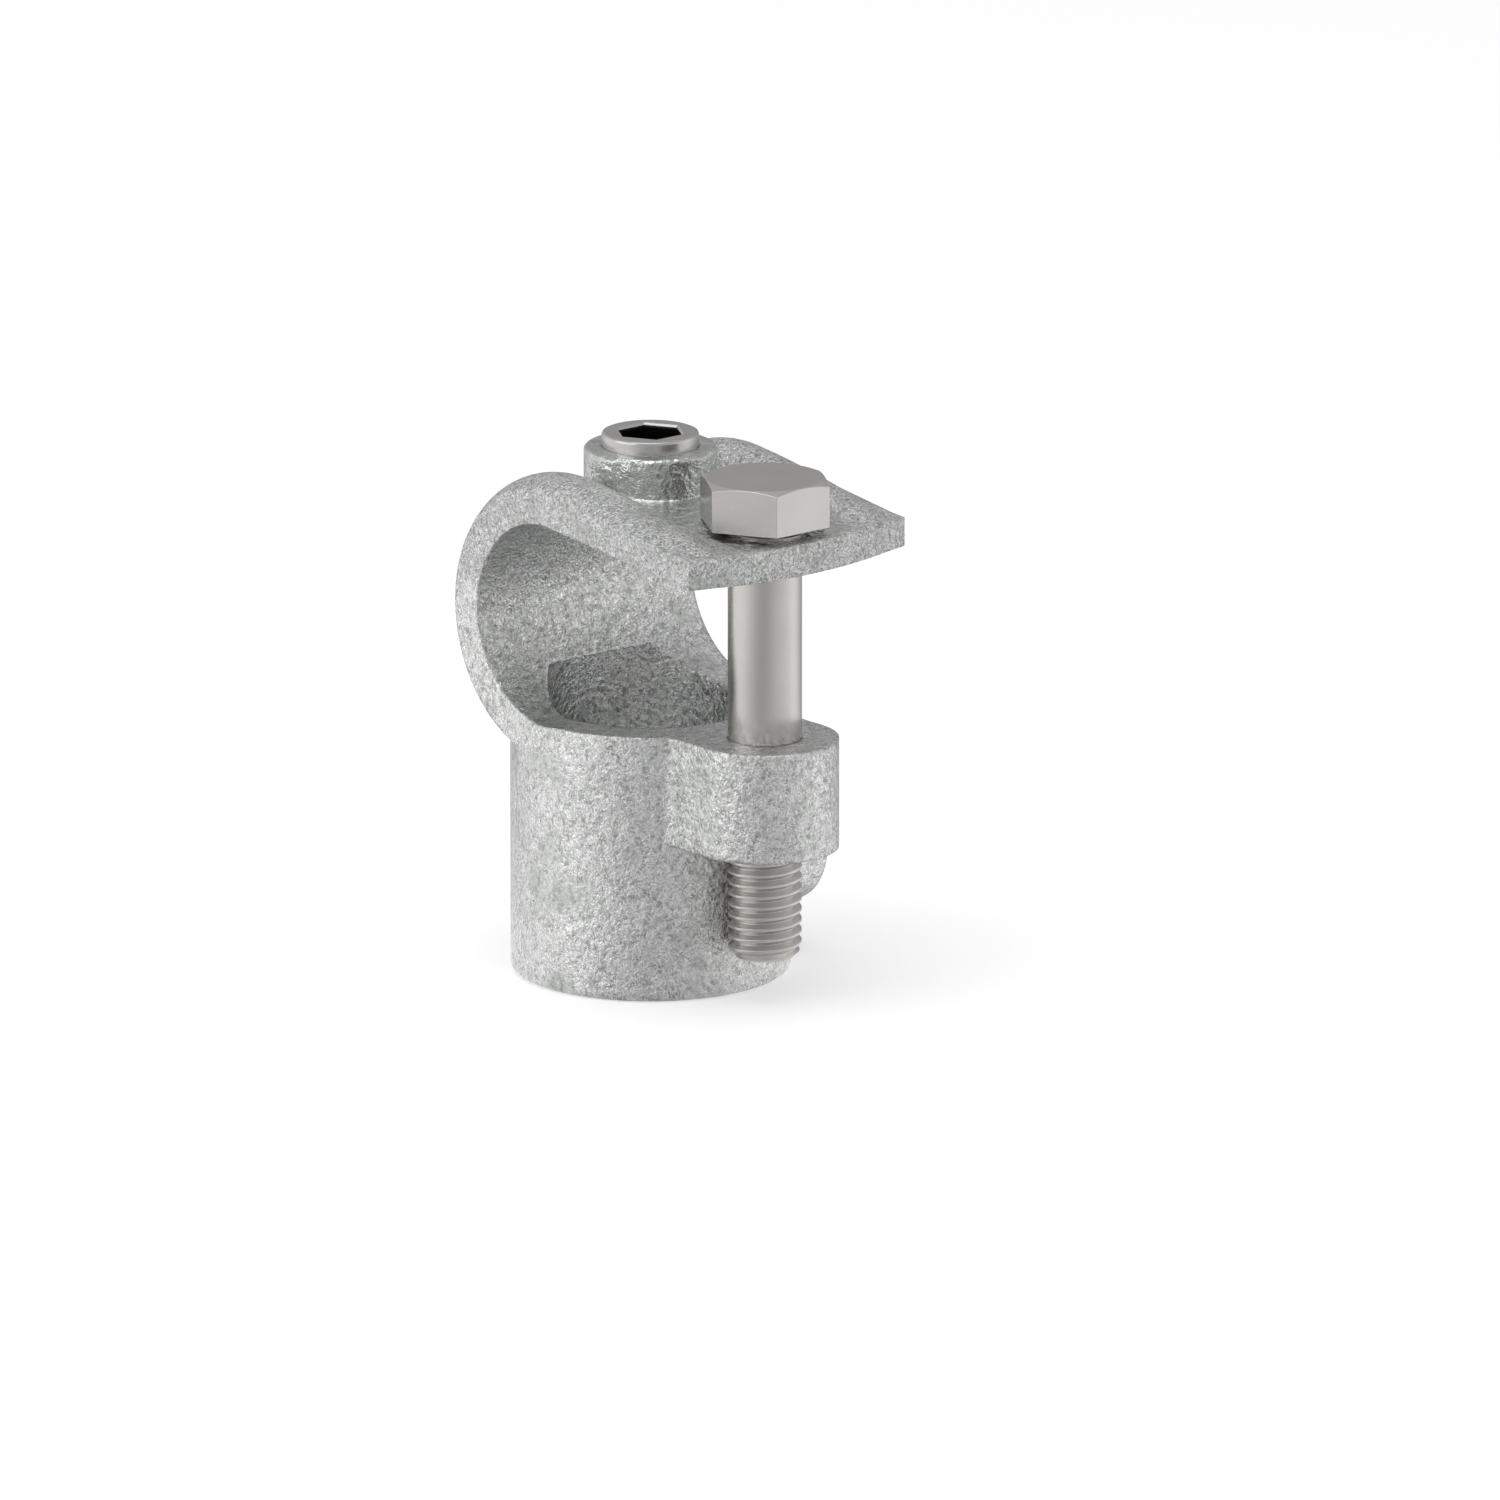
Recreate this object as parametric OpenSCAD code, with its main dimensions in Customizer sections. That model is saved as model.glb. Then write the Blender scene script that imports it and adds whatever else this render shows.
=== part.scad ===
// Clamp-on tee for round tube: an upright socket, a hook band that passes behind and over a
// level tube, and a front tab that one long bolt draws down towards a threaded lug.
// The origin is where the axes of the level tube (X) and the upright tube (Z) cross.
// The bolt stands on the -Y side, the back of the hook faces +Y and the side boss faces +X.

/* [Tube] */
// Outside diameter of the tubes that the fitting takes
tube_d = 26.9; // [22:0.1:34]
// Play on the diameter between a tube and the casting
tube_play = 1.0; // [0.6:0.1:1.4]

/* [Socket] */
// Wall of the upright socket
socket_wall = 5.05; // [4.2:0.05:6.5]
// Height of the socket from its foot to its flat top
socket_h = 36.95; // [30:0.05:60]
// Rounding of the edge round the socket's foot
foot_round = 1.0; // [0.4:0.1:1.6]
// Height of the flat top above the lowest line of the saddle
top_rise = 0.2; // [0.15:0.05:0.5]
// Height above the lowest line of the saddle at which the socket bore ends, behind
bore_end_h = 4.8; // [4:0.1:6]
// Height above the lowest line of the saddle at which the back of the socket turns inwards
shoulder_h = 1.2; // [0.6:0.1:2]
// Height of the shoulder, from there to where it meets the hook band
shoulder_rise = 8.6; // [7.5:0.1:9]

/* [Hook band] */
// Distance from each side face of the band in to the socket's own width
band_inset = 0.15; // [0.1:0.05:0.4]
// Wall of the band between its rims
band_wall = 3.05; // [2.6:0.05:4]
// Height of the rim crests above the saddle
rim_h = 6.35; // [5.6:0.05:7]
// Radius of a rim's round top
rim_r = 6.05; // [5.6:0.05:6.5]
// Distance from the band's side face in to the rim crest
rim_inset = 4.2; // [3.8:0.05:4.6]
// Fillet at the inner foot of each rim
rim_fillet = 1.6; // [0.8:0.1:2]

/* [Tab] */
// Slope of the tab's underside below the level, in degrees
tab_droop = 5.6; // [3:0.1:8]
// Distance of the tab's front corners beyond the bolt's axis
tab_front = 6.75; // [6:0.05:12]
// Bulge of the front edge beyond those corners
tab_bulge = 2.15; // [1:0.05:4]
// Thickness of the tab at its front corners
tab_tip_t = 3.95; // [3.4:0.05:5]
// Distance short of the front corners at which the rims have sunk into the tab
rim_runout = 0.3; // [0:0.1:3]

/* [Lug] */
// Height of the lug, down from the flat top
lug_h = 15.1; // [12:0.1:20]
// Wall of the lug round the bolt
lug_wall = 5.0; // [4:0.1:7]
// Fillet between the lug's sides and the socket
lug_fillet = 2.5; // [1:0.1:4]

/* [Bosses] */
// Wall of a boss round its set screw
boss_wall = 2.42; // [2:0.01:3]
// Height of the top boss above the crown of the saddle
top_boss_h = 8.15; // [7.5:0.05:10]
// Height of the side boss above the socket's wall
side_boss_h = 5.05; // [4:0.05:8]
// Height of the side boss's axis above the socket's foot
side_boss_z = 14.4; // [12:0.1:20]
// Rounding of a boss's edge
boss_round = 0.6; // [0.2:0.1:1]

/* [Clamp bolt] */
// Diameter of the bolt
bolt_d = 10; // [8:1:12]
// Length of the bolt below its head
bolt_len = 60; // [50:1:80]
// Space between the level tube and the bolt
bolt_clear = 5.55; // [4:0.05:8]
// Width of the bolt's head across its flats
head_af = 16; // [14:0.5:18]
// Height of the bolt's head
head_h = 6.4; // [5:0.1:8]
// Inset of the round bearing face under the head from the head's flats
head_face_inset = 0.7; // [0.3:0.1:1.2]
// Height of that bearing face
head_face_t = 0.2; // [0.1:0.1:0.6]

/* [Set screws] */
// Outside diameter of a set screw's thread
screw_d = 13.16; // [12:0.02:14]
// Length of a set screw
screw_len = 9.95; // [8:0.05:9.95]
// Width of a set screw's hexagon socket across its flats
screw_af = 8; // [6:0.5:9]
// Depth of the hexagon socket
screw_socket_depth = 5.5; // [4:0.1:6]
// Height at which the top set screw stands proud of its boss
top_screw_proud = 1.9; // [1.9:0.1:3]
// Height at which the side set screw stands proud of its boss
side_screw_proud = 0.35; // [0:0.05:2]

/* [Fits] */
// Gap all round between a thread and its tapped hole
thread_gap = 0.05; // [0.03:0.01:0.1]
// Gap all round the bolt in the tab's clearance hole
tab_hole_gap = 0.5; // [0.3:0.1:1]
// Gap between the bolt's head and the highest line of the tab under it
head_gap = 0.02; // [0.01:0.01:0.1]

/* [Hidden] */
$fn = 64;
EPS = 0.01;
OVER = 1;
FAR = 200;

// Levels and radii, measured from the crossing of the tube axes
saddle_r = (tube_d + tube_play) / 2;
socket_r = saddle_r + socket_wall;
top_z = top_rise - saddle_r;
foot_z = top_z - socket_h;
bore_end_z = bore_end_h - saddle_r;
shoulder_tuck = 0.2;
band_half = socket_r - band_inset;
floor_r = saddle_r + band_wall;
bolt_reach = tube_d / 2 + bolt_clear + bolt_d / 2;
crest_r = saddle_r + rim_h;

// The rim's round top and the fillet at its inner foot, as radius and place across the band
rim_at = [crest_r - rim_r, band_half - rim_inset];
fillet_r_at = floor_r + rim_fillet;
fillet_at = [
    fillet_r_at,
    rim_at[1] - sqrt(pow(rim_r + rim_fillet, 2) - pow(fillet_r_at - rim_at[0], 2))
];

// The tab, along its underside and square to it, from where it leaves the saddle
tab_reach = bolt_reach + tab_front;
tip_along = (tab_reach - saddle_r * sin(tab_droop)) / cos(tab_droop);
tab_end = tip_along + 2 * tab_bulge;
top_slope = (tab_tip_t - band_wall) / tip_along;
front_r = (pow(band_half, 2) + pow(tab_bulge, 2)) / (2 * tab_bulge);

// The rims follow an arc that leaves the hook smoothly and sinks into the tab at its tip
rim_root_depth = 0.4;
rim_run = tip_along - rim_runout;
rim_drop = crest_r - floor_r - top_slope * rim_run;
path_r = (pow(rim_run, 2) + pow(rim_drop, 2)) / (2 * rim_drop);
rim_root_t = crest_r - floor_r + rim_root_depth;

// The tab's straight side edges start a little under the hook's, and end before the rims do
edge_tuck = 0.15;
edge_lead = 3;

// The highest line of the tab under the bolt's head, at the back of its bearing face
head_face_r = head_af / 2 - head_face_inset;
seat_along = (bolt_reach - head_face_r - floor_r * sin(tab_droop)) / cos(tab_droop);
seat_up = floor_r + top_slope * seat_along;
seat_z = seat_up * cos(tab_droop) - seat_along * sin(tab_droop) + head_gap;

// Screws and their holes
bolt_hole_r = bolt_d / 2 + thread_gap;
tab_hole_r = bolt_d / 2 + tab_hole_gap;
lug_r = bolt_d / 2 + lug_wall;
screw_hole_r = screw_d / 2 + thread_gap;
boss_r = screw_d / 2 + boss_wall;
top_boss_z = saddle_r + top_boss_h;
side_boss_x = socket_r + side_boss_h;
side_axis_z = foot_z + side_boss_z;
chamfer = 1.0;
head_chamfer = 22;
hex_corner = 1 / cos(30);

// Turns a profile, drawn with its radius to the right and its width upwards, about the
// X axis. The angles run from straight down, through the back, to the top and on.
module about_x(from, to) {
    rotate([0, 90, 0])
        rotate([0, 0, from])
            rotate_extrude(angle = to - from)
                children();
}

// Draws a side profile, in Y and Z, out along X
module along_x(width) {
    rotate([90, 0, 90])
        linear_extrude(height = width, center = true)
            children();
}

// A round post on the XY plane with a rounded upper edge
module post(r, h, round) {
    rotate_extrude() {
        square([r - round, h]);
        square([r, h - round]);
        translate([r - round, h - round])
            circle(round);
    }
}

// One half of the band's section: the wall, the round rim and the fillet between them. It is
// drawn too wide, and the casting's head is cut to the band's width.
module half_section(inner_r) {
    translate([inner_r, 0])
        square([floor_r - inner_r, band_half + OVER]);
    intersection() {
        translate(rim_at)
            circle(rim_r);
        translate([inner_r, 0])
            square([FAR, band_half + OVER]);
    }
    difference() {
        polygon([fillet_at, rim_at, [rim_at[0], fillet_at[1]]]);
        translate(fillet_at)
            circle(rim_fillet);
        translate([inner_r - FAR, 0])
            square([FAR, band_half]);
    }
}

module band_section(inner_r) {
    half_section(inner_r);
    mirror([0, 1])
        half_section(inner_r);
}

// The hook runs from under the level tube, round its back and over its crown, and the tab
// carries it on. They are drawn in a frame that leans forward by the droop, so that the tab's
// underside is level there, and the front edge is cut upright.
module band() {
    intersection() {
        rotate([tab_droop, 0, 0]) {
            about_x(0, 180)
                band_section(saddle_r - OVER);
            tab_slab();
            tab_rims();
            tab_edges();
        }
        translate([0, front_r - tab_reach - tab_bulge, -FAR / 2])
            cylinder(r = front_r, h = FAR);
    }
}

// The tab thickens towards its tip
module tab_slab() {
    along_x(2 * (band_half + OVER))
        polygon([
            [0, saddle_r],
            [0, floor_r],
            [-tab_end, floor_r + top_slope * tab_end],
            [-tab_end, saddle_r]
        ]);
}

// The rims of the hook follow a wide arc that sinks into the tab
module tab_rims() {
    translate([0, 0, crest_r - path_r])
        about_x(180, 180 + asin(tab_end / path_r))
            translate([path_r - crest_r, 0])
                band_section(crest_r - rim_root_t);
}

// The side edges of the tab run straight from near the hook's crown into its top face
module tab_edges() {
    crown_r = rim_at[0] + sqrt(pow(rim_r, 2) - pow(rim_inset, 2)) - edge_tuck;
    edge_run = rim_run - edge_lead;
    fall = (crown_r - floor_r - top_slope * edge_run) / edge_run;
    width = rim_inset + OVER;
    for (side = [-1, 1])
        translate([side * (rim_at[1] + width / 2), 0, 0])
            along_x(width)
                polygon([
                    [OVER, floor_r - OVER],
                    [OVER, crown_r + OVER * fall],
                    [-tab_end, crown_r - tab_end * fall],
                    [-tab_end, floor_r - OVER]
                ]);
}

// The back of the socket leans in from its own wall to the hook band's
module shoulder() {
    turn_z = shoulder_h - saddle_r;
    meet_z = turn_z + shoulder_rise;
    meet_y = sqrt(pow(floor_r, 2) - pow(meet_z, 2)) - shoulder_tuck;
    lean = (meet_z - turn_z) / (socket_r - meet_y);
    intersection() {
        translate([0, 0, top_z - EPS])
            cylinder(r = socket_r, h = FAR);
        along_x(2 * (band_half + OVER))
            polygon([
                [0, top_z - OVER],
                [socket_r + OVER, top_z - OVER],
                [socket_r + OVER, turn_z - OVER * lean],
                [meet_y, meet_z],
                [0, meet_z]
            ]);
    }
}

// The hook band, the tab and the shoulder, with level side faces
module head() {
    intersection() {
        union() {
            shoulder();
            band();
        }
        cube([2 * band_half, FAR, FAR], center = true);
    }
}

module socket() {
    translate([0, 0, top_z])
        mirror([0, 0, 1])
            post(socket_r, socket_h, foot_round);
}

// The lug's plan: a round end about the bolt, straight sides and fillets to the socket
module lug_plan() {
    fillet_x = lug_r + lug_fillet;
    fillet_y = -sqrt(pow(socket_r + lug_fillet, 2) - pow(fillet_x, 2));
    translate([0, -bolt_reach])
        circle(lug_r);
    translate([-lug_r, -bolt_reach])
        square([2 * lug_r, bolt_reach - saddle_r]);
    for (side = [-1, 1])
        difference() {
            polygon([[side * fillet_x, fillet_y], [0, fillet_y], [0, 0]]);
            translate([side * fillet_x, fillet_y])
                circle(lug_fillet);
        }
}

module lug() {
    translate([0, 0, top_z - lug_h])
        linear_extrude(height = lug_h)
            lug_plan();
}

module top_boss() {
    root_z = floor_r - 2 * band_wall;
    translate([0, 0, root_z])
        post(boss_r, top_boss_z - root_z, boss_round);
}

module side_boss() {
    translate([saddle_r, 0, side_axis_z])
        rotate([0, 90, 0])
            post(boss_r, side_boss_x - saddle_r, boss_round);
}

module tee_casting() {
    color("gainsboro")
        difference() {
            union() {
                socket();
                lug();
                head();
                top_boss();
                side_boss();
            }
            // the saddle for the level tube
            rotate([0, 90, 0])
                cylinder(r = saddle_r, h = FAR, center = true);
            // the bore for the upright tube
            translate([0, 0, foot_z - OVER])
                cylinder(r = saddle_r, h = bore_end_z - foot_z + OVER);
            // the tapped holes for the two set screws
            cylinder(r = screw_hole_r, h = FAR);
            translate([0, 0, side_axis_z])
                rotate([0, 90, 0])
                    cylinder(r = screw_hole_r, h = FAR);
            // the clearance hole in the tab and the tapped hole in the lug
            translate([0, -bolt_reach, 0])
                cylinder(r = tab_hole_r, h = FAR);
            translate([0, -bolt_reach, top_z - lug_h - OVER])
                cylinder(r = bolt_hole_r, h = lug_h + 2 * OVER);
        }
}

// The head stands on its bearing face at z = 0 and the shank hangs below it
module clamp_bolt() {
    head_r = head_af / 2;
    drop = (head_r * hex_corner - head_r) * tan(head_chamfer);
    color("silver")
        translate([0, -bolt_reach, seat_z]) {
            cylinder(r = head_face_r, h = head_face_t + EPS);
            intersection() {
                translate([0, 0, head_face_t])
                    cylinder(r = head_r * hex_corner, h = head_h - head_face_t, $fn = 6);
                union() {
                    cylinder(r = head_r * hex_corner + OVER, h = head_h - drop);
                    translate([0, 0, head_h - drop])
                        cylinder(r1 = head_r * hex_corner, r2 = head_r, h = drop);
                }
            }
            translate([0, 0, chamfer - bolt_len])
                cylinder(r = bolt_d / 2, h = bolt_len - chamfer + EPS);
            translate([0, 0, -bolt_len])
                cylinder(r1 = bolt_d / 2 - chamfer, r2 = bolt_d / 2, h = chamfer);
        }
}

// A set screw with its outer end at z = 0, a hexagon socket there and a cup point below
module set_screw() {
    cup_r = screw_d / 2 - 2 * chamfer;
    edge = chamfer / 2;
    difference() {
        union() {
            translate([0, 0, chamfer - screw_len])
                cylinder(r = screw_d / 2, h = screw_len - chamfer - edge);
            translate([0, 0, -edge])
                cylinder(r1 = screw_d / 2, r2 = screw_d / 2 - edge, h = edge);
            translate([0, 0, -screw_len])
                cylinder(r1 = screw_d / 2 - chamfer, r2 = screw_d / 2, h = chamfer);
        }
        translate([0, 0, -screw_socket_depth])
            cylinder(r = screw_af / 2 * hex_corner, h = FAR, $fn = 6);
        translate([0, 0, -screw_len - EPS])
            cylinder(r1 = cup_r, r2 = 0, h = cup_r / 2);
    }
}

module top_set_screw() {
    color("lightgray")
        translate([0, 0, top_boss_z + top_screw_proud])
            set_screw();
}

module side_set_screw() {
    color("lightgray")
        translate([side_boss_x + side_screw_proud, 0, side_axis_z])
            rotate([0, 90, 0])
                set_screw();
}

tee_casting();
clamp_bolt();
top_set_screw();
side_set_screw();
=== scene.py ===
"""A clamp-on tee fitting, finished and lit for a studio render.

The fitting has four pieces: the galvanised casting, the long clamp bolt and the two set screws.
The casting keeps its solid's mesh. The bolt and the set screws are modelled here with their
threads. Lengths are in metres. The axes of the hook and the upright socket cross at the origin.
"""

import math

import bmesh
import bpy
from mathutils import Matrix, Vector


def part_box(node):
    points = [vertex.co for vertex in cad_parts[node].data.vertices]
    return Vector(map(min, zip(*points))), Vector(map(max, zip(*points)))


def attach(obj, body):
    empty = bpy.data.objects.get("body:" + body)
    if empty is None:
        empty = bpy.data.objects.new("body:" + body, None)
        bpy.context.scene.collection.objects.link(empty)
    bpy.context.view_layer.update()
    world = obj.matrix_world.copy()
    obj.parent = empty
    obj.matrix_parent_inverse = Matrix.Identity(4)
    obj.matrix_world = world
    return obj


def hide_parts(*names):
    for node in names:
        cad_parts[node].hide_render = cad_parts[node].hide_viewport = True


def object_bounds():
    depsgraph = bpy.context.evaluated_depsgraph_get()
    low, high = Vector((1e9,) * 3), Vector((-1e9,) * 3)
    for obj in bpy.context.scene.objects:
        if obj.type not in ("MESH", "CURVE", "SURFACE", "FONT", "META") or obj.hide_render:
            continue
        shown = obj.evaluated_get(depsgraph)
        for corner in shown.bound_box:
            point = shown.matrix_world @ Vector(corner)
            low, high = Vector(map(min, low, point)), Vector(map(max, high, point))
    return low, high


bl_info = {
    "name": "Tube Clamp Tee Fitting",
    "version": (1, 0, 0),
    "blender": (4, 5, 0),
    "location": "View3D > Sidebar > Tee Fitting",
    "description": "Finishes a clamp-on tee fitting with its bolt and set screws",
    "category": "Object",
}

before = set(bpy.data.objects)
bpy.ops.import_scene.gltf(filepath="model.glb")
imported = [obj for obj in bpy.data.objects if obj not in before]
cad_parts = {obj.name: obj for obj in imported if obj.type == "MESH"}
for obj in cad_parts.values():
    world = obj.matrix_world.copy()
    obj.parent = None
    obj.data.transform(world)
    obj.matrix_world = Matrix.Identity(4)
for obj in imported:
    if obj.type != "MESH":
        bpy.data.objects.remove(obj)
CAD_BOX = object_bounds()

MM = 0.001
BOLT_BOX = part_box("clamp_bolt")
TOP_SCREW_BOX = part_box("top_set_screw")
SIDE_SCREW_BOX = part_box("side_set_screw")

# A hexagon's radius at its corners for a radius of 1 at its flats
HEX_CORNER = 1 / math.cos(math.radians(30))

# Faces round a turned piece, round one turn of a thread, and along a flat of the bolt's head
ROUND_STEPS = 96
THREAD_STEPS = 48
FLAT_STEPS = 16

# One tooth of a thread, in shares of the thread's depth and pitch
TOOTH = [(0, 0), (1, 0.36), (1, 0.58), (0, 0.94), (0, 1)]

# A thread's depth as a share of its pitch
THREAD_DEPTH = 0.5

# How far a thread's crest stays inside the plain surface beside it
THREAD_INSET = 0.02 * MM

# How near to a level a point counts as lying on it
ON_LEVEL = 0.0001 * MM

# How far the flat circle on top of the bolt's head stays inside its flats
HEAD_TOP_INSET = 0.15 * MM

# Turns in which the bolt's core widens to the shank, and in which the thread sinks into it
RUNOUT_TURNS, SINKING_TURNS = 1.2, 0.72

# The least ring of a set screw's face round its hexagon, and the least wall from the hexagon's
# corners to the hollow of the thread
FACE_RING, SOCKET_WALL = 0.1 * MM, 0.4 * MM

# The attribute that is 0 at the mouth of a hexagon socket and 1 at its floor
INSIDE = "inside"

# The zone where the zinc is calm: half its width, its lowest level and its front, each with the
# place where it ends and the place where it is full
CALM_HALF_WIDTH = (10 * MM, 8.5 * MM)
CALM_LEVEL = (12 * MM, 13 * MM)
CALM_FRONT = (-31.5 * MM, -30 * MM)

# The levels between which the zinc turns from crystalline to sandy
SANDY_LEVEL = (0, 6 * MM)

# Brightness of the studio round the fitting, by the angle to the right of the camera
STUDIO = [(-180, 0.36), (-150, 0.60), (-120, 0.95), (-62, 0.88), (-40, 0.71), (-20, 0.53),
          (-5, 0.44), (10, 0.44), (25, 0.54), (45, 0.66), (66, 0.76), (78, 0.87), (86, 0.94),
          (100, 0.94), (114, 0.76), (130, 0.52), (150, 0.40), (180, 0.34)]

# Its brightness overhead, and how many times its brightness the floor shows to the metal
STUDIO_OVERHEAD = 0.52
STUDIO_UNDERFOOT = 1.05

# Each softbox: its name, its place, the side of its square and its power in watts
SOFTBOXES = [("Left Softbox", (-1.3, 0.3, 0.4), 1.3, 3.4),
             ("Top Softbox", (-0.15, -0.1, 1.0), 0.8, 3.2)]

CAMERA_AZIMUTH, CAMERA_ELEVATION = math.radians(-40), math.radians(15)
PICTURE_WIDTH_PX = 1500
PICTURE_PX_PER_MM = 7.41

# The picture's centre, measured right and down in the picture from a point over the origin
PICTURE_FROM = Vector((0, 0, 0.25 * MM))
PICTURE_RIGHT, PICTURE_DOWN = 13.43 * MM, 20.03 * MM


# Sizes and colours

class BoltSizes(bpy.types.PropertyGroup):
    """Sizes of the clamp bolt"""

    shank_d: bpy.props.FloatProperty(
        name="Shank diameter", description="Diameter of the bolt's plain shank",
        default=10 * MM, min=4 * MM, max=20 * MM, unit="LENGTH")
    head_af: bpy.props.FloatProperty(
        name="Head across flats", description="Width of the hexagon head across its flats",
        default=BOLT_BOX[1].y - BOLT_BOX[0].y, min=6 * MM, max=30 * MM, unit="LENGTH")
    head_h: bpy.props.FloatProperty(
        name="Head height", description="Height of the head with its bearing face",
        default=6.4 * MM, min=2 * MM, max=15 * MM, unit="LENGTH")
    head_chamfer: bpy.props.FloatProperty(
        name="Head chamfer", description="Slope of the chamfer that rounds the head's top corners",
        default=math.radians(22), min=math.radians(5), max=math.radians(45), unit="ROTATION")
    face_h: bpy.props.FloatProperty(
        name="Bearing face height", description="Height of the round face under the head",
        default=0.2 * MM, min=0.05 * MM, max=1 * MM, unit="LENGTH")
    face_step: bpy.props.FloatProperty(
        name="Bearing face step", description="How far the round face stays inside the flats",
        default=0.7 * MM, min=0, max=2 * MM, unit="LENGTH")
    thread_len: bpy.props.FloatProperty(
        name="Thread length", description="Length of the thread, up from the bolt's end",
        default=26 * MM, min=5 * MM, max=50 * MM, unit="LENGTH")
    pitch: bpy.props.FloatProperty(
        name="Thread pitch", description="Rise of the thread in one turn",
        default=1.5 * MM, min=0.5 * MM, max=3 * MM, unit="LENGTH")
    end_chamfer: bpy.props.FloatProperty(
        name="End chamfer", description="Chamfer on the thread at the bolt's end",
        default=1.0 * MM, min=0, max=3 * MM, unit="LENGTH")


class SetScrewSizes(bpy.types.PropertyGroup):
    """Sizes of both set screws"""

    thread_d: bpy.props.FloatProperty(
        name="Thread diameter", description="Outside diameter of the set screw's thread",
        default=SIDE_SCREW_BOX[1].y - SIDE_SCREW_BOX[0].y, min=5 * MM, max=20 * MM, unit="LENGTH")
    pitch: bpy.props.FloatProperty(
        name="Thread pitch", description="Rise of the thread in one turn",
        default=1.337 * MM, min=0.5 * MM, max=3 * MM, unit="LENGTH")
    plain_end: bpy.props.FloatProperty(
        name="Plain end", description="Length of the smooth outer end that stands out of the boss",
        default=2.3 * MM, min=0, max=5 * MM, unit="LENGTH")
    edge: bpy.props.FloatProperty(
        name="Outer edge", description="Rounding of the outer end's edge",
        default=0.35 * MM, min=0.05 * MM, max=1 * MM, unit="LENGTH")
    socket_af: bpy.props.FloatProperty(
        name="Socket across flats", description="Width of the hexagon socket across its flats",
        default=8 * MM, min=3 * MM, max=12 * MM, unit="LENGTH")
    socket_depth: bpy.props.FloatProperty(
        name="Socket depth", description="Depth of the hexagon socket",
        default=5.5 * MM, min=2 * MM, max=8 * MM, unit="LENGTH")
    socket_lip: bpy.props.FloatProperty(
        name="Socket lip", description="Chamfer at the mouth of the hexagon socket",
        default=0.25 * MM, min=0.05 * MM, max=1 * MM, unit="LENGTH")


class Finishes(bpy.types.PropertyGroup):
    """Colours and surface of the metals"""

    zinc: bpy.props.FloatVectorProperty(
        name="Zinc", description="Colour of the galvanised casting",
        default=(0.66, 0.675, 0.66), min=0, max=1, subtype="COLOR")
    bolt_steel: bpy.props.FloatVectorProperty(
        name="Bolt steel", description="Colour of the plated clamp bolt",
        default=(0.67, 0.65, 0.63), min=0, max=1, subtype="COLOR")
    screw_steel: bpy.props.FloatVectorProperty(
        name="Set screw steel", description="Colour of the plated set screws",
        default=(0.62, 0.61, 0.60), min=0, max=1, subtype="COLOR")
    grain: bpy.props.FloatProperty(
        name="Grain", description="Size of the grains in the galvanised skin",
        default=0.45 * MM, min=0.1 * MM, max=3 * MM, unit="LENGTH")
    cast_edge: bpy.props.FloatProperty(
        name="Cast edge", description="Rounding that the zinc gives the casting's edges and corners",
        default=0.8 * MM, min=0.1 * MM, max=2 * MM, unit="LENGTH")
    steel_edge: bpy.props.FloatProperty(
        name="Steel edge", description="Rounding of the edges of the bolt and the set screws",
        default=0.15 * MM, min=0.05 * MM, max=1 * MM, unit="LENGTH")


# Shader expressions

class Socket:
    """A shader value: arithmetic on it adds Math or Vector Math nodes to its tree"""

    def __init__(self, tree, output, vector=False):
        self.tree, self.output, self.vector = tree, output, vector

    def _math(self, operation, other, swap=False):
        node = self.tree.nodes.new("ShaderNodeVectorMath" if self.vector else "ShaderNodeMath")
        node.operation = operation
        for socket, value in zip(node.inputs, (other, self) if swap else (self, other)):
            connect(self.tree, socket, value)
        return Socket(self.tree, node.outputs[0], self.vector)

    def __add__(self, other):
        return self._math("ADD", other)

    def __sub__(self, other):
        return self._math("SUBTRACT", other)

    def __mul__(self, other):
        return self._math("MULTIPLY", other)

    def __rsub__(self, other):
        return self._math("SUBTRACT", other, swap=True)

    __radd__, __rmul__ = __add__, __mul__


def connect(tree, socket, value):
    """Links a shader value to a node's socket, or sets a plain value on it"""
    if isinstance(value, Socket):
        tree.links.new(value.output, socket)
    elif socket.type == "RGBA":
        socket.default_value = (*value, 1.0)
    else:
        socket.default_value = value


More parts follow.
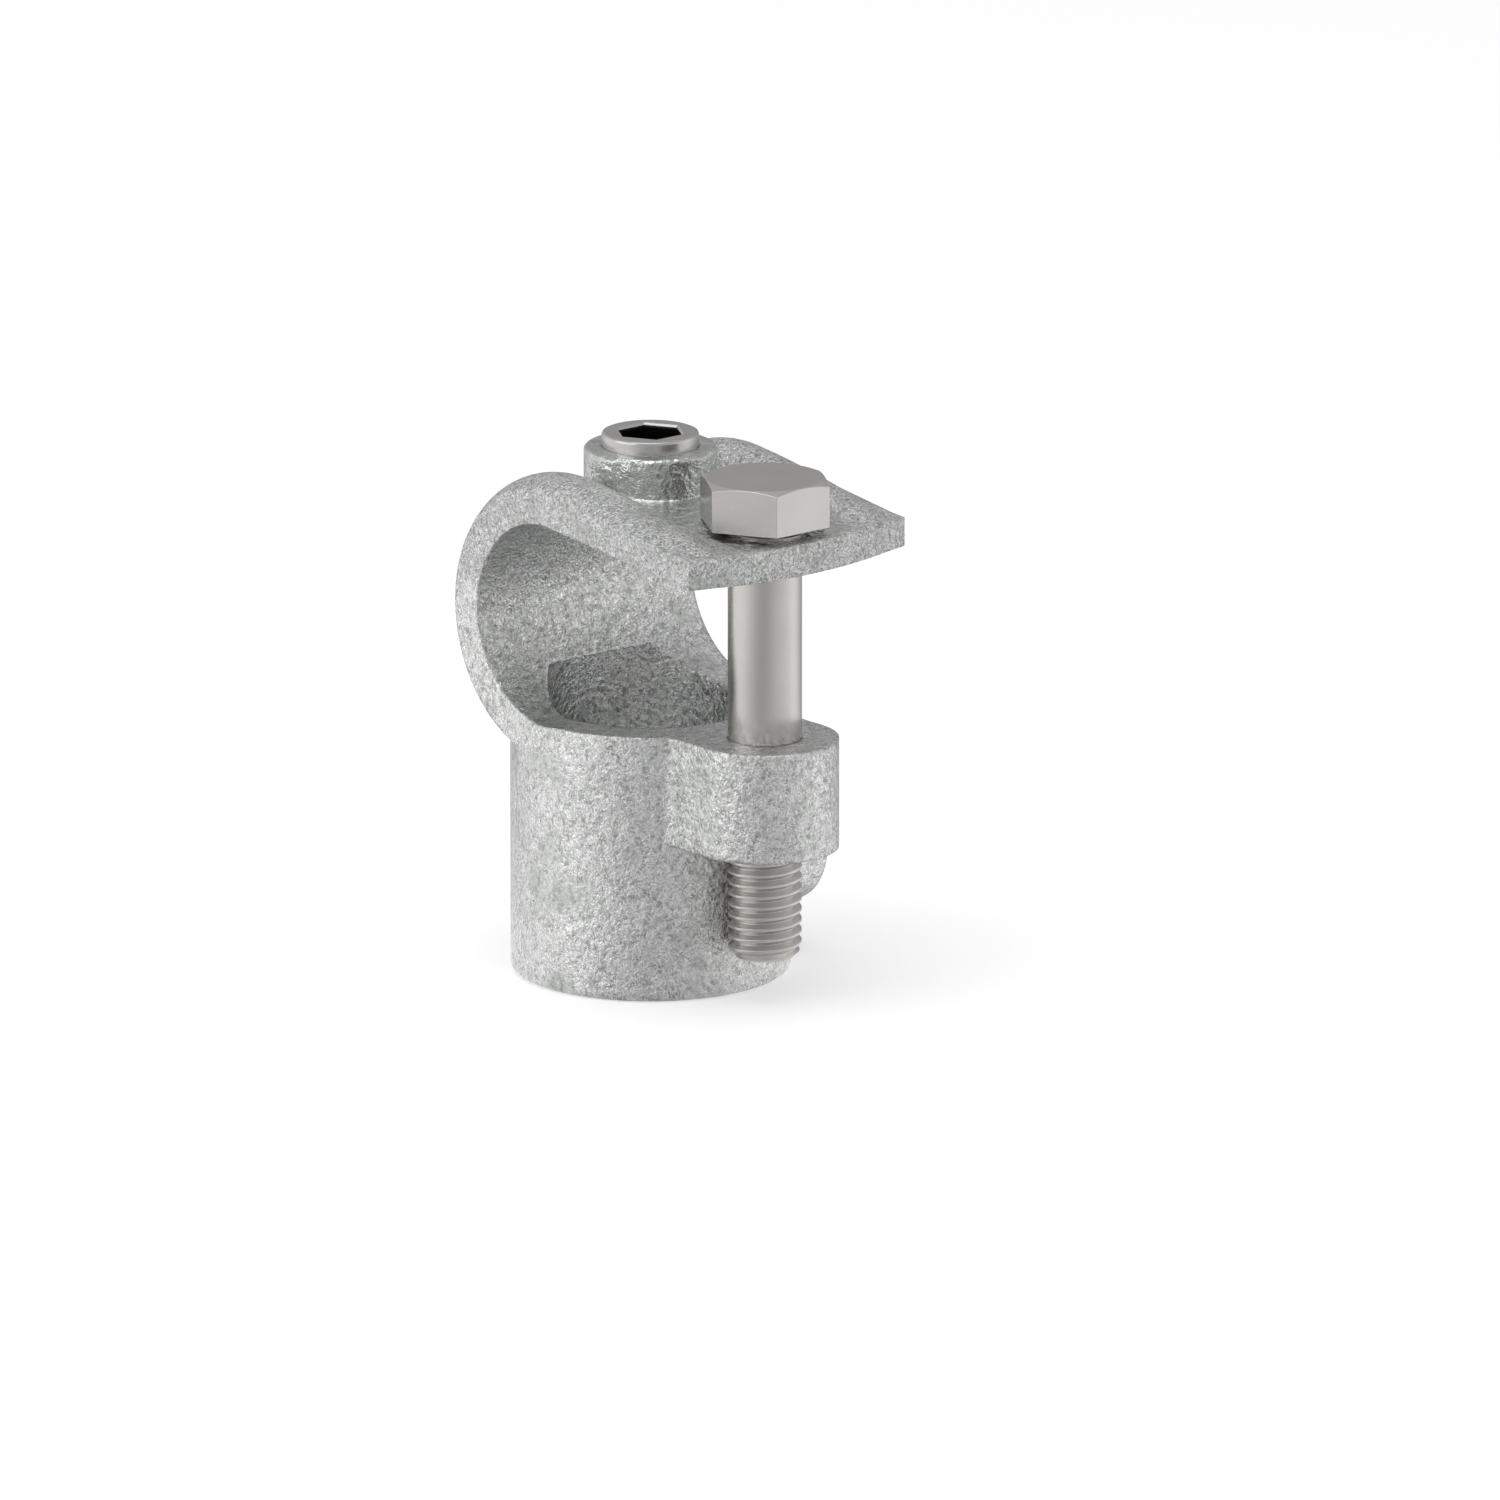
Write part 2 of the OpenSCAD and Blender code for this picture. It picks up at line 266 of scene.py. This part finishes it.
class Shader:
    """Builds one node tree, one line to a node"""

    def __init__(self, owner):
        owner.use_nodes = True
        self.kind = "World" if isinstance(owner, bpy.types.World) else "Material"
        self.tree = owner.node_tree
        self.tree.nodes.clear()

    def node(self, kind, settings=None, output=0, **inputs):
        """Adds a node, sets its settings and then its sockets by name, and returns one output"""
        node = self.tree.nodes.new("ShaderNode" + kind)
        for key, value in (settings or {}).items():
            if key == "stops":
                ramp = node.color_ramp
                ramp.elements[0].position, ramp.elements[0].color = value[0]
                ramp.elements[1].position, ramp.elements[1].color = value[-1]
                for position, colour in value[1:-1]:
                    ramp.elements.new(position).color = colour
            else:
                setattr(node, key, value)
        for key, value in inputs.items():
            name = key.replace("_", " ")
            found = [s for s in node.inputs if s.name == name and s.enabled]
            values = value if name == "Shader" else (value,)
            for socket, one in zip(found, values):
                connect(self.tree, socket, one)
        out = node.outputs[output]
        return Socket(self.tree, out, out.type == "VECTOR")

    def mix(self, factor, first, second):
        """A blend of two colours"""
        node = self.tree.nodes.new("ShaderNodeMix")
        node.data_type = "RGBA"
        connect(self.tree, node.inputs["Factor"], factor)
        for socket, value in zip([s for s in node.inputs if s.type == "RGBA"], (first, second)):
            connect(self.tree, socket, value)
        out = next(s for s in node.outputs if s.type == "RGBA")
        return Socket(self.tree, out)

    def ramp(self, factor, low, high):
        """0 up to low, 1 from high, and a smooth rise between them"""
        return self.node("MapRange", {"interpolation_type": "SMOOTHSTEP"},
                         Value=factor, From_Min=low, From_Max=high)

    def absolute(self, value):
        """A number without its sign"""
        return self.node("Math", {"operation": "ABSOLUTE"}, Value=value)

    def place(self):
        """The place on the object, in metres"""
        return self.node("TexCoord", output="Object")

    def split(self, where):
        """The three parts of a place or a direction"""
        parts = self.tree.nodes.new("ShaderNodeSeparateXYZ")
        connect(self.tree, parts.inputs[0], where)
        return [Socket(self.tree, out) for out in parts.outputs]

    def noise(self, where, size, detail=2.0, rough=0.5, twist=0.0):
        """Noise with blobs of about that size"""
        return self.node("TexNoise", Vector=where, Scale=0.5 / size, Detail=detail,
                         Roughness=rough, Distortion=twist)

    def seen(self):
        """1 for what the camera sees, also through glass"""
        path = self.node("LightPath", output="Is Camera Ray")
        return path + self.node("LightPath", output="Is Transmission Ray")

    def finish(self, shader):
        """Connects the surface"""
        out = self.tree.nodes.new("ShaderNodeOutput" + self.kind)
        self.tree.links.new(shader.output, out.inputs["Surface"])


def new_material(name):
    """A material and the builder of its nodes"""
    material = bpy.data.materials.new(name)
    return material, Shader(material)


def shade(colour, share):
    """A darker or lighter shade of a colour"""
    return tuple(min(1.0, share * part) for part in colour)


# Metals

def galvanised_zinc(finish):
    """Hot-dipped zinc in three looks: crystalline on the socket and the lug, sandy and duller from
    the hook up, and calm and mirror-like where it ran off, on the top boss and between the rims"""
    material, sh = new_material("Galvanised Zinc")
    where = sh.place()
    x, y, z = sh.split(where)
    calm = (sh.ramp(sh.absolute(x), *CALM_HALF_WIDTH) * sh.ramp(z, *CALM_LEVEL)
            * sh.ramp(y, *CALM_FRONT))
    coarse = 1 - calm
    sandy = sh.ramp(z, *SANDY_LEVEL) * coarse

    crinkle = sh.noise(where, finish.grain, 3.0, 0.65, 1.2)
    pits = sh.noise(where + (0.013, 0.007, 0.029), finish.grain * 1.2, 3.0, 0.7)
    sand = sh.noise(where, finish.grain * 0.5, 2.0, 0.7)
    wave = sh.noise(where, 1.0 * MM, 3.0, 0.6)
    cloud = sh.noise(where, 4 * MM, 3.0, 0.55)
    grains = pits + (sand - pits) * sandy

    # Painted highlights: thin bright veins run where the crinkle passes its middle level, as glints
    # on the crests. Painted shade: the pits are dark.
    crest_glint = sh.ramp(sh.absolute(crinkle - 0.5), 0.06, 0.0) * sh.ramp(cloud, 0.25, 0.45)
    pit_shade = sh.ramp(grains, 0.56, 0.34)
    colour = sh.mix(sh.ramp(cloud, 0.35, 0.7), shade(finish.zinc, 0.95), finish.zinc)
    colour = sh.mix(sandy, colour, shade(finish.zinc, 0.85))
    # Painted shade: the pits darken the zinc's colour, most on the coarse and sandy zinc
    colour = sh.mix(pit_shade * (0.3 + 0.5 * coarse + 0.2 * sandy), colour, shade(finish.zinc, 0.5))
    # Painted highlight: the veins lighten the zinc's colour on the coarse zinc
    colour = sh.mix(crest_glint * coarse * 0.95, colour, shade(finish.zinc, 1.6))
    rough = 0.06 + 0.17 * coarse + 0.05 * sandy + 0.06 * sh.ramp(cloud, 0.3, 0.7)

    height = (crinkle + grains) * (0.25 + 0.95 * coarse + 0.6 * sandy)
    height = height + wave * (3.5 - 2.5 * coarse) + cloud * 0.7
    edge = sh.node("Bevel", {"samples": 8}, Radius=finish.cast_edge)
    normal = sh.node("Bump", Strength=1.0, Distance=0.20 * MM, Height=height, Normal=edge)
    sh.finish(sh.node("BsdfPrincipled", Base_Color=colour, Metallic=1.0, Roughness=rough,
                      Normal=normal))
    return material


def plated_steel(name, steel, roughness, edge_r):
    """Bright plated steel: smooth, with a faint turned grain and a little uneven plating, and
    dark inside a hexagon socket"""
    material, sh = new_material(name)
    where = sh.place()
    cloud = sh.noise(where, 3 * MM, 3.0, 0.5)
    turning = sh.noise(where * (1, 1, 9), 0.5 * MM, 2.0, 0.5)
    depth = sh.node("Attribute", {"attribute_name": INSIDE}, "Fac")
    colour = sh.mix(sh.ramp(cloud, 0.3, 0.7), shade(steel, 0.95), steel)
    colour = sh.mix(sh.ramp(depth, 0.0, 0.1) * 0.9, colour, shade(steel, 0.05))
    rough = roughness + 0.05 * cloud + 0.03 * turning
    edge = sh.node("Bevel", {"samples": 6}, Radius=edge_r)
    normal = sh.node("Bump", Strength=0.10, Distance=0.02 * MM, Height=turning, Normal=edge)
    sh.finish(sh.node("BsdfPrincipled", Base_Color=colour, Metallic=1.0, Roughness=rough,
                      Normal=normal))
    return material


# Ways to shape a piece

def line(bm, points):
    """A line of edges through points (radius, height) in the plane of X and Z, as one list"""
    verts = [bm.verts.new((r, 0, z)) for r, z in points]
    return verts + [bm.edges.new(pair) for pair in zip(verts[:-1], verts[1:])]


def at_level(edge, level):
    """Whether an edge is open and lies at a level"""
    return edge.is_boundary and all(abs(v.co.z - level) < ON_LEVEL for v in edge.verts)


def thread_band(bm, crest_r, pitch, low, high, bore_r=0):
    """A screw thread about Z, from low to high: one tooth's profile turned up in a helix, cut
    level at both ends, closed there and hollow where it has a bore"""
    depth, start = THREAD_DEPTH * pitch, low - 2 * pitch
    turns = math.ceil((high - low) / pitch) + 2
    geom = line(bm, [(crest_r - depth * (1 - out), start + up * pitch) for out, up in TOOTH])
    if bore_r:
        geom += line(bm, [(bore_r, start), (bore_r, start + pitch)])
    bmesh.ops.spin(bm, geom=geom, cent=(0, 0, 0), axis=(0, 0, 1),
                   dvec=(0, 0, pitch / THREAD_STEPS), angle=2 * math.pi * turns,
                   steps=THREAD_STEPS * turns, use_merge=False)
    bmesh.ops.remove_doubles(bm, verts=bm.verts, dist=0.001 * MM)
    for level, keep_up in ((low, True), (high, False)):
        bmesh.ops.bisect_plane(bm, geom=bm.verts[:] + bm.edges[:] + bm.faces[:],
                               dist=ON_LEVEL, plane_co=(0, 0, level), plane_no=(0, 0, 1),
                               clear_inner=keep_up, clear_outer=not keep_up)
        bmesh.ops.triangle_fill(bm, edges=[e for e in bm.edges if at_level(e, level)],
                                use_beauty=True)


def turned(bm, profile):
    """A body of revolution about Z from (radius, height) points"""
    bmesh.ops.spin(bm, geom=line(bm, profile), cent=(0, 0, 0), axis=(0, 0, 1), dvec=(0, 0, 0),
                   angle=2 * math.pi, steps=ROUND_STEPS, use_merge=True)
    bmesh.ops.remove_doubles(bm, verts=bm.verts, dist=0.0005 * MM)


def raised(bm, edges):
    """Extrudes a ring of edges, and returns the new ring's edges and vertices, to be placed"""
    new = bmesh.ops.extrude_edge_only(bm, edges=edges)["geom"]
    return ([e for e in new if isinstance(e, bmesh.types.BMEdge)],
            [v for v in new if isinstance(v, bmesh.types.BMVert)])


def to_object(bm, name, material, place, sharp=30):
    """Makes the piece's object at the origin, shaded smooth up to edges sharper than sharp"""
    bmesh.ops.recalc_face_normals(bm, faces=bm.faces)
    bmesh.ops.transform(bm, matrix=place, verts=bm.verts)
    mesh = bpy.data.meshes.new(name)
    bm.to_mesh(mesh)
    bm.free()
    mesh.shade_smooth()
    mesh.set_sharp_from_angle(angle=math.radians(sharp))
    obj = bpy.data.objects.new(name, mesh)
    bpy.context.scene.collection.objects.link(obj)
    obj.data.materials.append(material)
    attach(obj, "root")
    return obj


# The pieces

class TEE_OT_casting(bpy.types.Operator):
    """Gives the cast body its galvanised finish"""

    bl_idname = "tee.casting"
    bl_label = "Casting"

    def execute(self, context):
        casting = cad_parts["tee_casting"]
        casting.data.materials.clear()
        casting.data.materials.append(galvanised_zinc(context.scene.tee_finishes))
        return {"FINISHED"}


class TEE_OT_clamp_bolt(bpy.types.Operator):
    """Models the long hexagon bolt with its chamfered head, shank and thread"""

    bl_idname = "tee.clamp_bolt"
    bl_label = "Clamp Bolt"

    def execute(self, context):
        size, finish = context.scene.tee_bolt, context.scene.tee_finishes
        low, high = BOLT_BOX
        axis = (low + high) / 2
        place = Matrix.Translation((axis.x, axis.y, 0))
        steel = plated_steel("Plated Bolt Steel", finish.bolt_steel, 0.22, finish.steel_edge)
        seat_z = high.z - size.head_h
        head = self.head(size, seat_z + size.face_h, high.z, steel, place)
        self.shank(size, low.z, seat_z, steel, place)
        thread = self.thread(size, low.z, steel, place)
        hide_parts("clamp_bolt")
        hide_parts("clamp_bolt")
        return {"FINISHED"}

    def head(self, size, low_z, top_z, steel, place):
        """A hexagon whose top corners are cut by a cone, up to a flat circle"""
        bm = bmesh.new()
        flat_r = size.head_af / 2
        top_r = flat_r - HEAD_TOP_INSET
        bmesh.ops.create_circle(bm, cap_ends=False, radius=flat_r * HEX_CORNER, segments=6,
                                matrix=Matrix.Translation((0, 0, low_z))
                                @ Matrix.Rotation(math.radians(30), 4, "Z"))
        bmesh.ops.subdivide_edges(bm, edges=bm.edges[:], cuts=FLAT_STEPS - 1)
        under = bm.edges[:]
        rim, rim_verts = raised(bm, under)
        for v in rim_verts:
            v.co.z = top_z - (v.co.xy.length - top_r) * math.tan(size.head_chamfer)
        circle, circle_verts = raised(bm, rim)
        for v in circle_verts:
            v.co = (*(v.co.xy.normalized() * top_r), top_z)
        bmesh.ops.holes_fill(bm, edges=under + circle, sides=0)
        return to_object(bm, "bolt_head", steel, place, 12)

    def shank(self, size, end_z, seat_z, steel, place):
        """The plain shank, with the head's round bearing face above and the thread's core below"""
        bm = bmesh.new()
        face_r = size.head_af / 2 - size.face_step
        face_z, run_z = seat_z + size.face_h, end_z + size.thread_len
        shank_r, core_r = size.shank_d / 2, size.shank_d / 2 - THREAD_DEPTH * size.pitch
        turned(bm, [(0, face_z), (face_r, face_z), (face_r, seat_z), (shank_r, seat_z),
                    (shank_r, run_z + RUNOUT_TURNS * size.pitch), (core_r, run_z), (0, run_z)])
        to_object(bm, "bolt_shank", steel, place)

    def thread(self, size, end_z, steel, place):
        """The thread up to its run-out, with a chamfer at the bolt's end"""
        bm = bmesh.new()
        shank_r = size.shank_d / 2
        thread_band(bm, shank_r - THREAD_INSET, size.pitch, end_z,
                    end_z + size.thread_len + SINKING_TURNS * size.pitch)
        for v in bm.verts:
            limit = shank_r - size.end_chamfer + (v.co.z - end_z)
            radius = v.co.xy.length
            if radius > limit:
                v.co.xy = v.co.xy * (limit / radius)
        return to_object(bm, "bolt_thread", steel, place, 25)


def set_screw(size, steel, name, node, place):
    """A set screw with its outer end at z = 0: plain outer end, thread and hexagon socket"""
    length = TOP_SCREW_BOX[1].z - TOP_SCREW_BOX[0].z
    r, depth, edge = size.thread_d / 2, THREAD_DEPTH * size.pitch, size.edge
    core_r, cup_r = r - depth, r - 2 * depth
    hex_r = size.socket_af / 2 * HEX_CORNER
    mouth_r = hex_r + size.socket_lip

    bm = bmesh.new()
    inside = bm.verts.layers.float.new(INSIDE)
    turned(bm, [(mouth_r + FACE_RING, 0), (r - edge, 0), (r - edge * 0.3, -edge * 0.3),
                (r, -edge), (r, -size.plain_end), (core_r, -size.plain_end - depth),
                (core_r, -length), (cup_r, -length), (0, -length + cup_r / 2)])
    mouth, mouth_verts = raised(bm, [e for e in bm.edges if e.is_boundary])
    for v in mouth_verts:
        off_flat = math.atan2(v.co.y, v.co.x) % math.radians(60) - math.radians(30)
        v.co *= mouth_r / HEX_CORNER / math.cos(off_flat) / v.co.xy.length
    lip, lip_verts = raised(bm, mouth)
    for v in lip_verts:
        v.co *= hex_r / mouth_r
        v.co.z = hex_r - mouth_r
    floor_edges, floor_verts = raised(bm, lip)
    for v in floor_verts:
        v.co.z = -size.socket_depth
        v[inside] = 1.0
    bmesh.ops.holes_fill(bm, edges=floor_edges, sides=0)
    body = to_object(bm, name, steel, place, 20)
    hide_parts(node)

    bm = bmesh.new()
    thread_band(bm, r - THREAD_INSET, size.pitch, -length, -size.plain_end - 0.1 * MM,
                hex_r + SOCKET_WALL)
    to_object(bm, name + "_thread", steel, place, 25)


class TEE_OT_set_screws(bpy.types.Operator):
    """Models the two set screws with their hexagon sockets and threads"""

    bl_idname = "tee.set_screws"
    bl_label = "Set Screws"

    def execute(self, context):
        size, finish = context.scene.tee_set_screws, context.scene.tee_finishes
        steel = plated_steel("Plated Screw Steel", finish.screw_steel, 0.20, finish.steel_edge)
        top_z = TOP_SCREW_BOX[1].z
        set_screw(size, steel, "top_screw", "top_set_screw", Matrix.Translation((0, 0, top_z)))
        side_x, side_z = SIDE_SCREW_BOX[1].x, (SIDE_SCREW_BOX[0].z + SIDE_SCREW_BOX[1].z) / 2
        set_screw(size, steel, "side_screw", "side_set_screw",
                  Matrix.Translation((side_x, 0, side_z))
                  @ Matrix.Rotation(math.radians(90), 4, "Y"))
        return {"FINISHED"}


# The stage

def studio(sh, direction, height=0.0):
    """Brightness of the studio in a direction: lightest on the left and right, dim towards the
    camera and behind. The position on the ramp is the angle from the camera."""
    turned_to = sh.node("VectorRotate", {"rotation_type": "Z_AXIS"}, Vector=direction,
                        Angle=math.radians(90) - CAMERA_AZIMUTH)
    angle = sh.node("TexGradient", {"gradient_type": "RADIAL"}, "Fac", Vector=turned_to)
    stops = [(0.5 + azimuth / 360, (level,) * 3 + (1,)) for azimuth, level in STUDIO]
    around = sh.node("RGBToBW", Color=sh.node("ValToRGB", {"stops": stops}, Fac=angle))
    overhead = sh.ramp(height, 0.2, 0.6)
    return around * (1 - overhead) + overhead * STUDIO_OVERHEAD


class TEE_OT_stage(bpy.types.Operator):
    """Sets the pale floor, the studio, the soft lights and the camera"""

    bl_idname = "tee.stage"
    bl_label = "Stage"

    def execute(self, context):
        self.floor()
        self.world(context.scene)
        self.lights()
        self.camera(context.scene)
        context.scene.view_settings.view_transform = "Standard"
        return {"FINISHED"}

    def floor(self):
        """White to the camera, with the fitting's shadow; to the metal, a part of the studio"""
        bm = bmesh.new()
        bmesh.ops.create_grid(bm, x_segments=1, y_segments=1, size=6,
                              matrix=Matrix.Translation((0, 0, CAD_BOX[0].z)))
        mesh = bpy.data.meshes.new("Floor")
        bm.to_mesh(mesh)
        bm.free()
        plane = bpy.data.objects.new("Floor", mesh)
        bpy.context.scene.collection.objects.link(plane)
        material, sh = new_material("Pale Floor")
        paint = sh.node("BsdfDiffuse", Color=(0.80, 0.80, 0.80))
        glow = sh.node("Emission", Color=(1, 1, 1), Strength=0.42)
        lit = sh.node("AddShader", Shader=(paint, glow))
        plain = sh.node("MixShader", Fac=sh.seen(), Shader=(paint, lit))
        mirrored = sh.node("Emission", Color=studio(sh, sh.place()), Strength=STUDIO_UNDERFOOT)
        sh.finish(sh.node("MixShader", Fac=sh.node("LightPath", output="Is Glossy Ray"),
                          Shader=(plain, mirrored)))
        mesh.materials.append(material)

    def world(self, scene):
        """White to the camera; round the metal, the studio"""
        world = bpy.data.worlds.new("Studio")
        scene.world = world
        sh = Shader(world)
        direction = sh.node("TexCoord", output="Generated")
        level = studio(sh, direction, sh.split(direction)[2])
        round_about = sh.node("Background", Color=level, Strength=1.0)
        white = sh.node("Background", Color=(1, 1, 1), Strength=1.0)
        sh.finish(sh.node("MixShader", Fac=sh.seen(), Shader=(round_about, white)))

    def lights(self):
        """Square softboxes that face the origin"""
        for name, place, size, power in SOFTBOXES:
            data = bpy.data.lights.new(name, "AREA")
            data.shape, data.size, data.energy = "SQUARE", size, power
            lamp = bpy.data.objects.new(name, data)
            bpy.context.scene.collection.objects.link(lamp)
            lamp.matrix_world = Matrix.Translation(place) @ (
                -Vector(place)).to_track_quat("-Z", "Y").to_matrix().to_4x4()

    def camera(self, scene):
        """A long lens from the front left, a little above: it sees the fitting almost square on"""
        level = math.cos(CAMERA_ELEVATION)
        back = Vector((math.sin(CAMERA_AZIMUTH) * level, -math.cos(CAMERA_AZIMUTH) * level,
                       math.sin(CAMERA_ELEVATION)))
        right = Vector((math.cos(CAMERA_AZIMUTH), math.sin(CAMERA_AZIMUTH), 0))
        up = back.cross(right)
        aim = PICTURE_FROM + right * PICTURE_RIGHT - up * PICTURE_DOWN
        data = bpy.data.cameras.new("Camera")
        data.lens, data.sensor_width = 600, 36
        view_width = PICTURE_WIDTH_PX / PICTURE_PX_PER_MM * MM
        distance = view_width * data.lens / data.sensor_width
        data.clip_start, data.clip_end = 0.1, 50
        lens = bpy.data.objects.new("Camera", data)
        scene.collection.objects.link(lens)
        lens.matrix_world = Matrix.Translation(aim + back * distance) @ (
            Matrix((right, up, back)).transposed().to_4x4())
        scene.camera = lens


# The panel and the list of classes

class TEE_PT_panel(bpy.types.Panel):
    """Lists the sizes, the finishes and the steps"""

    bl_idname = "TEE_PT_panel"
    bl_label = "Tee Fitting"
    bl_space_type = "VIEW_3D"
    bl_region_type = "UI"
    bl_category = "Tee Fitting"

    def draw(self, context):
        for name in GROUPS:
            box = self.layout.box()
            group = getattr(context.scene, name)
            for key in group.__annotations__:
                box.prop(group, key)
        for step in STEPS:
            self.layout.operator(step.bl_idname)


GROUPS = {"tee_bolt": BoltSizes, "tee_set_screws": SetScrewSizes, "tee_finishes": Finishes}
STEPS = (TEE_OT_casting, TEE_OT_clamp_bolt, TEE_OT_set_screws, TEE_OT_stage)
CLASSES = (*GROUPS.values(), *STEPS, TEE_PT_panel)


def register():
    for cls in CLASSES:
        bpy.utils.register_class(cls)
    for name, group in GROUPS.items():
        setattr(bpy.types.Scene, name, bpy.props.PointerProperty(type=group))


def unregister():
    for name in GROUPS:
        delattr(bpy.types.Scene, name)
    for cls in reversed(CLASSES):
        bpy.utils.unregister_class(cls)


def main():
    register()
    bpy.ops.tee.casting()
    bpy.ops.tee.clamp_bolt()
    bpy.ops.tee.set_screws()
    bpy.ops.tee.stage()


if __name__ == "__main__":
    main()
